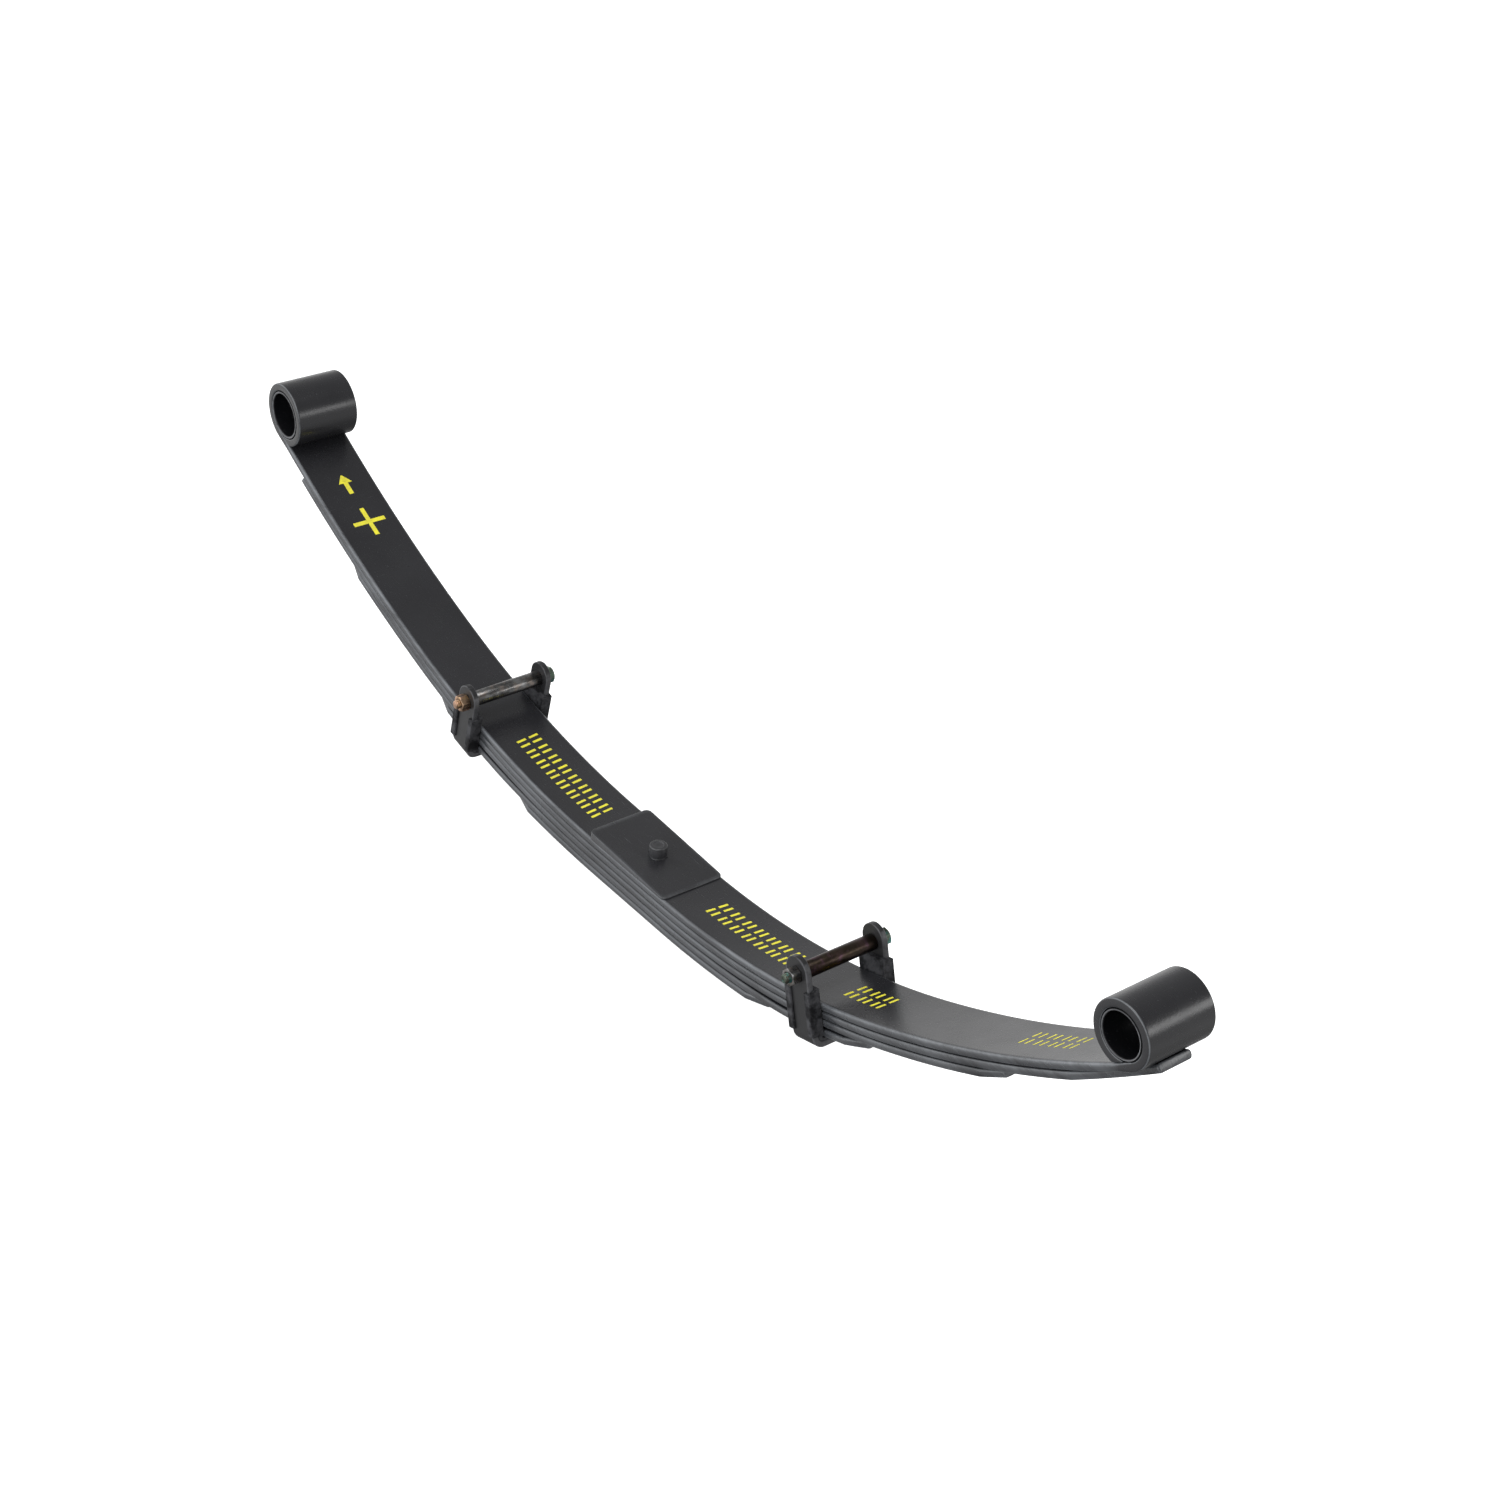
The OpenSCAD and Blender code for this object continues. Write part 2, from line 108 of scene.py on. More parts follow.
class Nodes:
    """Short calls for one material's node tree."""

    def __init__(self, name):
        self.mat = bpy.data.materials.new(name)
        self.mat.use_nodes = True
        self.tree = self.mat.node_tree
        self.shader = self.tree.nodes["Principled BSDF"]
        self.coord = self.tree.nodes.new("ShaderNodeTexCoord")

    def link(self, a, b):
        self.tree.links.new(a, b)

    def put(self, socket, value):
        if hasattr(value, "is_output"):
            self.link(value, socket)
        else:
            socket.default_value = value

    def noise(self, scale, detail=3.0, rough=0.55, stretch=(1, 1, 1), shift=(0, 0, 0)):
        m = self.tree.nodes.new("ShaderNodeMapping")
        m.inputs["Scale"].default_value = stretch
        m.inputs["Location"].default_value = shift
        self.link(self.coord.outputs["Object"], m.inputs["Vector"])
        n = self.tree.nodes.new("ShaderNodeTexNoise")
        n.inputs["Scale"].default_value = scale
        n.inputs["Detail"].default_value = detail
        n.inputs["Roughness"].default_value = rough
        self.link(m.outputs["Vector"], n.inputs["Vector"])
        return n.outputs["Fac"]

    def span(self, value, low, high, to_low=0.0, to_high=1.0):
        r = self.tree.nodes.new("ShaderNodeMapRange")
        self.link(value, r.inputs["Value"])
        r.inputs["From Min"].default_value = low
        r.inputs["From Max"].default_value = high
        r.inputs["To Min"].default_value = to_low
        r.inputs["To Max"].default_value = to_high
        return r.outputs["Result"]

    def math(self, kind, a, b):
        m = self.tree.nodes.new("ShaderNodeMath")
        m.operation = kind
        m.use_clamp = True
        self.put(m.inputs[0], a)
        self.put(m.inputs[1], b)
        return m.outputs[0]

    def mix(self, factor, a, b):
        m = self.tree.nodes.new("ShaderNodeMix")
        m.data_type = "RGBA"
        self.put(m.inputs[0], factor)
        self.put(m.inputs[6], a)
        self.put(m.inputs[7], b)
        return m.outputs[2]

    def attribute(self, name):
        a = self.tree.nodes.new("ShaderNodeAttribute")
        a.attribute_name = name
        return a.outputs["Fac"]

    def bump(self, value, strength, distance, below=None):
        b = self.tree.nodes.new("ShaderNodeBump")
        b.inputs["Strength"].default_value = strength
        b.inputs["Distance"].default_value = distance
        self.link(value, b.inputs["Height"])
        if below is not None:
            self.link(below, b.inputs["Normal"])
        return b.outputs["Normal"]

    def finish(self, colour, roughness, normal, metallic=0.0, **constants):
        s = self.shader.inputs
        self.put(s["Base Color"], colour)
        self.put(s["Roughness"], roughness)
        self.put(s["Metallic"], metallic)
        if normal is not None:
            self.link(normal, s["Normal"])
        for key, value in constants.items():
            s[key.replace("_", " ")].default_value = value
        return self.mat


def rgb(r, g, b):
    return (r, g, b, 1.0)


def painted_steel(name, deep, pale, rough, wear_dust_and_highlight_colour, wear_and_highlight_amount, specular=0.5):
    """Satin black paint: cloudy tone, orange peel, dust, fine scuffs, abraded edges that also carry painted
    highlight lines, and painted shade in the joints.
    """
    n = Nodes(name)
    cloud = n.noise(9, 4, 0.6)
    tone = n.mix(n.span(cloud, 0.35, 0.68), deep, pale)
    scuff = n.span(n.noise(60, 5, 0.7, (1, 14, 14)), 0.63, 0.74)
    drag = n.span(n.noise(45, 5, 0.7, (16, 1, 16), (3, 1, 2)), 0.66, 0.76)
    marks = n.math("MAXIMUM", scuff, drag)
    tone = n.mix(n.math("MULTIPLY", marks, 0.28), tone, wear_dust_and_highlight_colour)
    specks = n.span(n.noise(900, 2, 0.5), 0.70, 0.78)
    tone = n.mix(n.math("MULTIPLY", specks, 0.22), tone, wear_dust_and_highlight_colour)
    streak = n.span(n.noise(70, 4, 0.7, (0.12, 1, 1), (5, 2, 7)), 0.25, 0.60)
    # The point value is abrasion plus painted light: positive edges are painted pale as abraded paint and
    # highlight lines.
    wear_and_light = n.attribute("wear_and_light")
    worn_and_highlit = n.math("MULTIPLY", n.math("MULTIPLY", wear_and_light, streak), wear_and_highlight_amount)
    tone = n.mix(worn_and_highlit, tone, wear_dust_and_highlight_colour)
    # Negative values paint shade: the joints between leaves and the eye's flat sides go near black and
    # rougher.
    painted_shade = n.math("MULTIPLY", wear_and_light, -1.0)
    tone = n.mix(painted_shade, tone, rgb(0.0015, 0.0015, 0.0015))
    gloss = n.span(n.noise(26, 4, 0.65, (1, 1, 1), (2, 9, 4)), 0.3, 0.7, rough[0], rough[1])
    gloss = n.math("ADD", gloss, n.math("MULTIPLY", marks, 0.10))
    gloss = n.math("ADD", gloss, n.math("MULTIPLY", painted_shade, 0.5))
    peel = n.bump(n.noise(520, 2, 0.5), 0.16, 0.0004)
    waves = n.bump(n.noise(38, 2, 0.5), 0.10, 0.0012, peel)
    return n.finish(tone, gloss, waves, 0.0, Specular_IOR_Level=specular)


def moulded_plastic(name):
    """Matte black plastic with a fine grain, dust, and pale edges that are partly abrasion and partly painted
    highlight.
    """
    n = Nodes(name)
    tone = n.mix(n.span(n.noise(14, 4), 0.35, 0.65), rgb(0.005, 0.005, 0.006), rgb(0.009, 0.009, 0.010))
    dust = n.span(n.noise(700, 3, 0.6), 0.62, 0.78)
    tone = n.mix(n.math("MULTIPLY", dust, 0.10), tone, rgb(0.10, 0.10, 0.11))
    worn_and_highlit = n.math("MULTIPLY", n.attribute("wear_and_light"), n.span(n.noise(90, 4, 0.7), 0.4, 0.6))
    # Folded edges are painted pale: abrasion plus a painted highlight outline.
    tone = n.mix(n.math("MULTIPLY", worn_and_highlit, 0.35), tone, rgb(0.13, 0.13, 0.14))
    gloss = n.span(n.noise(40, 3), 0.3, 0.7, 0.42, 0.58)
    grain = n.bump(n.noise(1500, 3, 0.6), 0.25, 0.0003)
    return n.finish(tone, gloss, grain, Specular_IOR_Level=0.12)


def plated(name, colours, rough):
    """Plated steel whose tint drifts between the given colours."""
    n = Nodes(name)
    first = n.mix(n.span(n.noise(75, 3, 0.6), 0.38, 0.58), colours[0], colours[1])
    tone = n.mix(n.span(n.noise(120, 3, 0.6, (1, 1, 1), (4, 1, 8)), 0.50, 0.64), first, colours[2])
    grime = n.span(n.noise(260, 4, 0.7, (1, 0.12, 1), (1, 6, 3)), 0.50, 0.64)
    tone = n.mix(n.math("MULTIPLY", grime, 0.6), tone, rgb(0.012, 0.011, 0.010))
    gloss = n.span(n.noise(180, 3), 0.3, 0.7, rough[0], rough[1])
    drawn = n.bump(n.noise(900, 3, 0.6, (1, 0.08, 1)), 0.18, 0.0003)
    return n.finish(tone, gloss, drawn, 1.0)


def stencil_paint(name):
    """Yellow paint, thin and speckled where the black shows through."""
    n = Nodes(name)
    tone = n.mix(n.span(n.noise(160, 4), 0.35, 0.65), rgb(0.80, 0.73, 0.030), rgb(0.66, 0.60, 0.045))
    thin = n.span(n.noise(620, 5, 0.72), 0.60, 0.72)
    tone = n.mix(n.math("MULTIPLY", thin, 0.65), tone, rgb(0.10, 0.10, 0.03))
    gloss = n.span(n.noise(300, 3), 0.3, 0.7, 0.45, 0.62)
    spray = n.bump(n.noise(1400, 3, 0.6), 0.3, 0.0002)
    return n.finish(tone, gloss, spray)


LEAF_PAINT = painted_steel("leaf_paint", rgb(0.0120, 0.0120, 0.0140), rgb(0.0170, 0.0170, 0.0195),
                           (0.22, 0.30), rgb(0.155, 0.163, 0.175), 0.80)
STRAP_PAINT = painted_steel("strap_paint", rgb(0.012, 0.012, 0.013), rgb(0.020, 0.020, 0.021),
                            (0.34, 0.44), rgb(0.14, 0.14, 0.15), 0.50, 0.30)
# Sleeve paint is darker than the leaf paint: painted shade for the inside of the bores.
SHADED_SLEEVE_PAINT = painted_steel("shaded_sleeve_paint", rgb(0.003, 0.003, 0.0035), rgb(0.005, 0.005, 0.006),
                             (0.34, 0.44), rgb(0.21, 0.21, 0.22), 0.90, 0.12)
BOLT_PAINT = painted_steel("bolt_paint", rgb(0.012, 0.012, 0.013), rgb(0.022, 0.022, 0.024),
                           (0.30, 0.42), rgb(0.13, 0.13, 0.14), 0.20)
PLASTIC = moulded_plastic("liner_plastic")
DARK_ZINC = plated(
    "dark_zinc", (rgb(0.070, 0.045, 0.042), rgb(0.040, 0.030, 0.022), rgb(0.085, 0.050, 0.062)), (0.26, 0.42))
GREY_ZINC = plated(
    "grey_zinc", (rgb(0.25, 0.25, 0.25), rgb(0.11, 0.11, 0.11), rgb(0.22, 0.19, 0.17)), (0.22, 0.36))
COPPER_ZINC = plated(
    "copper_zinc", (rgb(0.62, 0.36, 0.25), rgb(0.30, 0.20, 0.13), rgb(0.50, 0.33, 0.16)), (0.24, 0.40))
GREEN_ZINC = plated(
    "green_zinc", (rgb(0.16, 0.22, 0.17), rgb(0.06, 0.055, 0.045), rgb(0.05, 0.22, 0.22)), (0.26, 0.42))
YELLOW = stencil_paint("stencil_yellow")


# ---- Mesh helpers ----

def add_piece(name, verts, faces, material, slot, nodes=(), sharp=34.0, wear_and_light=None):
    """A closed mesh from points in metres, smooth except where faces meet at more than `sharp` degrees.

    The optional list holds one value for each point: abrasion and painted highlight where positive, painted
    shade where negative. Without it, every edge that can rub gets the full value, a pale line of abrasion and
    painted highlight.
    """
    mesh = bpy.data.meshes.new(name)
    mesh.from_pydata([tuple(v) for v in verts], [], faces)
    bm = bmesh.new()
    bm.from_mesh(mesh)
    layer = bm.verts.layers.float.new("wear_and_light")
    for i, v in enumerate(bm.verts):
        v[layer] = wear_and_light[i] if wear_and_light else 0.0
    bmesh.ops.remove_doubles(bm, verts=bm.verts, dist=2e-7)
    bmesh.ops.recalc_face_normals(bm, faces=bm.faces)
    finish_edges(bm, sharp, None if wear_and_light else layer)
    bm.to_mesh(mesh)
    bm.free()
    return placed(name, mesh, material, nodes)


def finish_edges(bm, sharp, layer):
    """Mark the sharp edges, and give the points of every folded edge the full value of abrasion and painted
    highlight if there is a layer.
    """
    limit, folded = math.radians(sharp), math.radians(12)
    for f in bm.faces:
        f.smooth = True
    for e in bm.edges:
        angle = e.calc_face_angle(0.0)
        e.smooth = angle < limit
        if layer is not None and angle > folded:
            for v in e.verts:
                v[layer] = 1.0


def placed(name, mesh, material, nodes):
    """An object for a mesh and the CAD nodes that it replaces."""
    obj = bpy.data.objects.new(name, mesh)
    bpy.context.scene.collection.objects.link(obj)
    mesh.materials.append(material)
    if nodes:
        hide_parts(*nodes)
    return obj


def loft(rings, cap_first=True, cap_last=True):
    """Faces that join equal closed rings of points, with flat caps."""
    n = len(rings[0])
    verts = [p for ring in rings for p in ring]
    faces = []
    for i in range(len(rings) - 1):
        for j in range(n):
            k = (j + 1) % n
            faces.append((i * n + j, i * n + k, (i + 1) * n + k, (i + 1) * n + j))
    if cap_first:
        faces.append(tuple(range(n))[::-1])
    if cap_last:
        faces.append(tuple((len(rings) - 1) * n + j for j in range(n)))
    return verts, faces


def rounded_section(half, top, bottom, radius, steps=5, support=0.7, painted_shade=(0.0, 0.0), side_wear_and_light=0.0):
    """Closed outline of a flat bar as (depth, across, abrasion and painted light), with rounded long edges.

    The third value is highest half-way round the corners, where it paints a highlight line, and negative near
    an upper or lower face that lies against another part, where it paints shade.
    """
    radius = min(radius, half * 0.98, (bottom - top) * 0.49)
    support = min(support, max(half - radius, 0.0) * 0.5)
    out = []
    for top_side in (True, False):
        row = []
        joint_shade = painted_shade[0] if top_side else painted_shade[1]
        for i in range(steps + 1):
            a = math.pi / 2 * i / steps
            d, y = radius * (1 - math.sin(a)), half - radius * (1 - math.cos(a))
            # A pale line of abrasion and painted highlight peaks half-way round each corner; the side flat
            # takes the side value.
            rubbed_and_painted_light = math.sin(2 * a) ** 2
            if a < math.pi / 4:
                rubbed_and_painted_light += side_wear_and_light * (1 - rubbed_and_painted_light)
            # Next to a face that lies against another part, the corner is darkened as painted shade.
            row.append((d, y, rubbed_and_painted_light - joint_shade * (i / steps) ** 1.5))
        row.append((0.0, half - radius - support, -joint_shade))
        row = [(top + d, y, w) if top_side else (bottom - d, y, w) for d, y, w in row]
        mirrored = [(d, -y, w) for d, y, w in row]
        out += (row + mirrored[::-1]) if top_side else (mirrored + row[::-1])
    return out


# ---- Leaves ----

def arm_chain(side, reach, depth, roll=False):
    """Arcs of one arm: (start, end, reference radius, radius of the upper face)."""
    inner, outer = RADII[side]
    chain = [(SEAT_HALF, min(reach, ARM_BREAK), inner, inner + depth)]
    if reach > ARM_BREAK:
        chain.append((ARM_BREAK, reach, outer, outer + depth))
    if roll:
        r = EYE_R[side]
        chain.append((reach, reach + math.radians(ROLL) * r, r, r))
    return chain


def nip_radii(side):
    """The fourth leaf falls away from the third over half its arm and then curls back to it."""
    half = (FOURTH[side] - SEAT_HALF) / 2
    radius = RADII[side][0] + 3 * LEAF_T
    k = 1.5 * NIP_GAP / half ** 2
    return round(1 / (1 / radius - k)), round(1 / (1 / radius + 3 * k - 2 * NIP_TIP_GAP / half ** 2))


def fourth_chain(side):
    first, second = nip_radii(side)
    middle = (SEAT_HALF + FOURTH[side]) / 2
    return [(SEAT_HALF, middle, first, first), (middle, FOURTH[side], second, second)]


def fifth_chain(side):
    r = nip_radii(side)[0] + LEAF_T
    return [(SEAT_HALF, FIFTH[side], r, r)]


def along(chain, side, depth, s):
    """Point on the upper face at distance s, with the outward direction and the normal."""
    x, z, h = SEAT_HALF, 0.0, 0.0
    if s <= SEAT_HALF:
        x = s
    else:
        for start, end, ref, own in chain:
            if s > start:
                turn = (min(s, end) - start) / ref
                x += own * (math.sin(h + turn) - math.sin(h))
                z += own * (math.cos(h) - math.cos(h + turn))
                h += turn
    sign = SIDES[side]
    point = Vector((sign * x, 0.0, z - WEDGE_MID - depth)) * MM
    return point, Vector((sign * math.cos(h), 0, math.sin(h))), Vector((-sign * math.sin(h), 0, math.cos(h)))


def stations(chain, first, last, extra=()):
    """Distances between first and last: close together only where the leaf bends hard."""
    marks = {first, last}
    marks.update(e for e in extra if first < e < last)
    for start, end, ref, _ in chain:
        step = 6.0 if ref > 100 else math.radians(4.5) * ref
        a, b = max(start, first), min(end, last)
        if b > a:
            count = max(1, round((b - a) / step))
            marks.update(a + (b - a) * i / count for i in range(count + 1))
    return sorted(marks)


def thickness(chain, s):
    """Thickness of the leaf at s: full, but for the end of a rolled eye, which is cut to lie on the leaf."""
    start, end, r, _ = chain[-1]
    left = 2 * math.pi - (s - start) / r
    if r > 100 or left > math.pi / 3:
        return LEAF_T
    return min(LEAF_T, (r - ROLL_GAP) / math.cos(left) - r)


# The upper face of a lower leaf shows only from this far before the eye; nearer the centre its edges get
# painted shade.
UNDER_EYE = 15.0

# How far each leaf's lower face lies on the leaf or the seat below it; over that length its edges get painted
# shade.
BELOW = {"main_leaf": SECOND, "second_leaf": THIRD, "third_leaf": FOURTH, "fourth_leaf": FIFTH,
         "fifth_leaf": {"front": SEAT_HALF, "rear": SEAT_HALF}}


def leaf_piece(name, node, side, chain, depth, first, last, tip=None, end_here=False):
    """One stretch of a leaf. tip is (taper, inset) of the cut corners at the end of the arm."""
    end = chain[-1][1]
    taper, inset = tip or (0.0, 0.0)
    soft = 1.1              # radius of the rounded end
    beside = 0.6            # keeps the fold where the taper starts crisp
    blend = 20.0            # length over which the leaf's rounding turns into the eye's
    marks = stations(chain, first, last, (end - taper, end - taper + beside, end - taper - beside))
    plan = [(s, 0.0) for s in marks if not (end_here and s > end - soft + 1e-6)]
    if end_here:
        for degrees in (0, 30, 60, 90):
            a = math.radians(degrees)
            plan.append((end - soft + soft * math.sin(a), soft * (1 - math.cos(a))))
    rings, wear_and_light = [], []
    for s, shrink in plan:
        half = HALF_W - shrink
        if taper:
            half -= inset * min(1.0, max(0.0, (s - end + taper) / taper))
        point, _, normal = along(chain, side, depth, s)
        ring = []
        thick = thickness(chain, s)
        shrink = min(shrink, 0.4 * thick)
        # A face that lies against a leaf, the seat or the inside of the eye gets painted shade at its edges.
        above = s > REACH[side] or 0 < depth and s < REACH[side] - UNDER_EYE
        joint_shade = (float(above), float(s < BELOW[node][side]))
        rounding, side_wear_and_light = LEAF_ROUND, SIDE_WEAR_AND_SHEEN
        # Towards the eye, the side's pale sheen turns into painted shade on the roll's flat sides.
        if node == "main_leaf":
            share = min(1.0, max(0.0, (s - REACH[side]) / blend + 1))
            rounding += (EYE_ROUND - LEAF_ROUND) * share
            side_wear_and_light += (EYE_PAINTED_SHADE - SIDE_WEAR_AND_SHEEN) * share
        for d, y, w in rounded_section(half, shrink, thick - shrink, rounding - 0.5 * shrink,
                                       painted_shade=joint_shade, side_wear_and_light=side_wear_and_light):
            ring.append(point - normal * d * MM + Vector((0, y * MM, 0)))
            # The rounded end gets a pale line of abrasion and painted highlight.
            wear_and_light.append(max(w, 0.8 if shrink > 0.05 else 0.0))
        rings.append(ring)
    verts, faces = loft(rings)
    return add_piece(name, verts, faces, LEAF_PAINT, "leaf_steel", (node,), wear_and_light=wear_and_light)


def spread(piece):
    """Bake the piece's placement into its points."""
    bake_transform(piece)


def long_leaf(node, side, chain, depth, tip=None):
    """A leaf that runs past the clip, in two pieces that meet under it."""
    inner = leaf_piece(f"{node}_{side}_inner", node, side, chain, depth, 0.0, CLIP_AT)
    spread(inner)
    outer = leaf_piece(f"{node}_{side}_outer", node, side, chain, depth, CLIP_AT, chain[-1][1], tip, True)
    spread(outer)


def short_leaf(node, side, chain, depth):
    """A leaf that ends near the clip."""
    piece = leaf_piece(f"{node}_{side}", node, side, chain, depth, 0.0, chain[-1][1],
                       (TIP_TAPER, TIP_INSET), True)
    spread(piece)


MAIN_CHAIN = {}
for side in SIDES:
    MAIN_CHAIN[side] = arm_chain(side, REACH[side], 0.0, roll=True)
    long_leaf("main_leaf", side, MAIN_CHAIN[side], 0.0)
    tail = (TAIL_TAPER, TAIL_INSET) if side == "rear" else None
    long_leaf("second_leaf", side, arm_chain(side, SECOND[side], LEAF_T), LEAF_T, tail)
    third = arm_chain(side, THIRD[side], 2 * LEAF_T)
    long_leaf("third_leaf", side, third, 2 * LEAF_T, (TIP_TAPER, TIP_INSET))
    short_leaf("fourth_leaf", side, fourth_chain(side), 3 * LEAF_T)
    short_leaf("fifth_leaf", side, fifth_chain(side), 4 * LEAF_T)


# ---- Turned parts, nuts and threads ----

def circle(r, h, steps):
    """Ring of points about Z at height h."""
    angles = [2 * math.pi * j / steps for j in range(steps)]
    return [Vector((r * math.cos(a), r * math.sin(a), h)) for a in angles]


def tube(rings):
    """Faces that join closed rings of points, and the last ring to the first."""
    verts, faces = loft(rings, False, False)
    steps = len(rings[0])
    last = (len(rings) - 1) * steps
    for j in range(steps):
        k = (j + 1) % steps
        faces.append((last + j, last + k, k, j))
    return verts, faces


def lathe(profile, steps=64, closed=False):
    """Turn (radius, height) points about Z. closed joins the last ring to the first, as on a tube."""
    rings = [circle(r, h, steps) for r, h in profile]
    return tube(rings) if closed else loft(rings)


def arc_points(r, h, radius, start, stop, steps):
    """Points of a small rounding, as (radius, height) about a centre, between two angles in degrees."""
    out = []
    for i in range(steps + 1):
        a = math.radians(start + (stop - start) * i / steps)
        out.append((r + radius * math.cos(a), h + radius * math.sin(a)))
    return out


def hexagon(flats, height, bore=0.0):
    """Hexagon along Z from 0 to height whose corners are turned off in a cone at both ends."""
    apothem, steps, flare = flats / 2, 72, 0.8
    slope = math.tan(math.radians(30))

    def outline(limit, h):
        """Ring of a hexagon that reaches no further than the limit."""
        ring = []
        for j in range(steps):
            a = 2 * math.pi * j / steps
            fold = (a + math.pi / 6) % (math.pi / 3) - math.pi / 6
            r = min(apothem / math.cos(fold), limit)
            ring.append(Vector((r * math.cos(a), r * math.sin(a), h)))
        return ring

    face_r, corner = apothem * 0.955, apothem / math.cos(math.pi / 6)
    limits = [face_r + (corner - face_r) * i / 5 for i in range(6)]
    rings = [outline(limit, (limit - face_r) * slope) for limit in limits]
    rings += [outline(limit, height - (limit - face_r) * slope) for limit in reversed(limits)]
    if not bore:
        return loft(rings)
    rings += [circle(bore + flare, height, steps), circle(bore, height - flare, steps)]
    rings += [circle(bore, flare, steps), circle(bore + flare, 0.0, steps)]
    return tube(rings)


def thread(radius, start, stop, pitch=1.25):
    """A threaded rod with a pointed end: radius rises and falls with the angle and the height."""
    steps, rows_per_turn = 36, 8
    depth = 0.6 * pitch
    flank = 1.35            # above 1, this leaves a flat on the thread's crest
    rows = int((stop - start) / pitch * rows_per_turn)
    rings = []
    for i in range(rows + 1):
        h = start + (stop - start) * i / rows
        lead = min(1.0, (stop - h) / pitch)
        ring = []
        for j in range(steps):
            a = 2 * math.pi * j / steps
            wave = abs(((h / pitch - a / (2 * math.pi)) % 1.0) * 2 - 1)
            r = radius - depth * (1 - min(1.0, wave * flank)) - (1 - lead) * depth
            ring.append(Vector((r * math.cos(a), r * math.sin(a), h)))
        rings.append(ring)
    rings.append(circle(radius - depth - 0.6, stop + 0.05, steps))
    return loft(rings)


def bring(verts, matrix):
    """Points in millimetres, moved by a matrix in metres."""
    return [matrix @ (v * MM) for v in verts]


def join(*parts):
    """Several closed shells as one mesh."""
    verts, faces = [], []
    for v, f in parts:
        base = len(verts)
        verts += v
        faces += [tuple(i + base for i in face) for face in f]
    return verts, faces


# ---- Centre: wedge, bolt and nut ----

def wedge_piece():
    """Tapered plate with rounded corners, a soft upper edge and a pocket around the bolt's head."""
    slope = math.tan(math.radians(WEDGE_ANGLE))

    def outline(inset):
        pts = []
        corners = [(WEDGE_REAR, HALF_W, 0), (-WEDGE_FRONT, HALF_W, 90)]
        corners += [(-WEDGE_FRONT, -HALF_W, 180), (WEDGE_REAR, -HALF_W, 270)]
        for x, y, start in corners:
            cx = x - math.copysign(WEDGE_CORNER, x)
            cy = y - math.copysign(WEDGE_CORNER, y)
            for i in range(7):
                a = math.radians(start + 15 * i)
                r = WEDGE_CORNER - inset
                pts.append((cx + r * math.cos(a), cy + r * math.sin(a)))
        return pts

    soft, soft_rings = 0.75, 5
    above_leaf = 0.02
    rings = [[Vector((x, y, above_leaf - WEDGE_MID)) for x, y in outline(0.0)]]
    for i in range(soft_rings):
        a = math.pi / 2 * i / (soft_rings - 1)
        inset, drop = soft * (1 - math.cos(a)), soft * (1 - math.sin(a))
        rings.append([Vector((x, y, -x * slope - drop)) for x, y in outline(inset)])
    # The flat top is made of rings that shrink to the pocket around the bolt's head
    top = rings[-1]
    steps = len(top)
    angles = [math.atan2(v.y, v.x) for v in top]
    for share in (0.93, 0.5):
        rings.append([Vector((v.x * share, v.y * share, -v.x * share * slope)) for v in top])
    pocket_r = HEAD_R + 1.4
    rings.append([Vector((pocket_r * math.cos(a), pocket_r * math.sin(a), -pocket_r * math.cos(a) * slope))
                  for a in angles])
    for r, z in ((HEAD_R + 1.0, SPOT_FACE_Z / 2), (HEAD_R + 0.8, SPOT_FACE_Z)):
        rings.append([Vector((r * math.cos(a), r * math.sin(a), z)) for a in angles])
    verts, faces = loft(rings)
    # The soft upper edge gets a pale line of abrasion and painted highlight.
    wear_and_light = [0.0] * len(verts)
    for i in range(steps, (soft_rings + 1) * steps):
        wear_and_light[i] = 0.3
    piece = add_piece("axle_wedge_plate", bring(verts, Matrix.Identity(4)), faces, LEAF_PAINT, "leaf_steel",
                      ("axle_wedge",), wear_and_light=wear_and_light)
    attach(piece, "leaf_pack")


def centre_parts():
    """Round head of the centre bolt on the wedge, and its nut and thread under the leaves."""
    round_r = 1.2
    # (radius, height): a flat base, a shallow groove above it, a rounded rim and a dished top
    head = [(0.6, -0.45), (5.2, -0.45), (7.2, -0.45), (7.35, -0.2), (7.1, 0.5), (7.1, 1.1)]
    head += [(HEAD_R, 1.7), (HEAD_R, 8.6)]
    head += arc_points(HEAD_R - round_r, HEAD_TOP - round_r, round_r, -20, 90, 6)
    head += [(4.6, HEAD_TOP), (4.2, HEAD_TOP - 0.4), (0.5, HEAD_TOP - 0.5)]
    nut_top = NUT_POCKET - WEDGE_MID - 5 * LEAF_T
    below = Matrix.Translation((0, 0, nut_top * MM)) @ Matrix.Rotation(math.pi, 4, "X")
    parts = [
        ("centre_bolt_head", lathe(head), Matrix.Identity(4), "centre_bolt", 40),
        ("centre_nut_hex", hexagon(CENTRE_FLATS, CENTRE_NUT_H, CENTRE_BOLT_R + 0.1), below, "centre_nut", 34),
        ("centre_bolt_thread", thread(CENTRE_BOLT_R, -2.0, CENTRE_NUT_H - 0.2, 1.5), below, "centre_bolt", 34),
    ]
    for name, (verts, faces), place, node, sharp in parts:
        piece = add_piece(name, bring(verts, place), faces, BOLT_PAINT, "bolt_steel", (node,), sharp=sharp)
        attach(piece, "leaf_pack")


wedge_piece()
centre_parts()


# ---- Eye sleeves ----

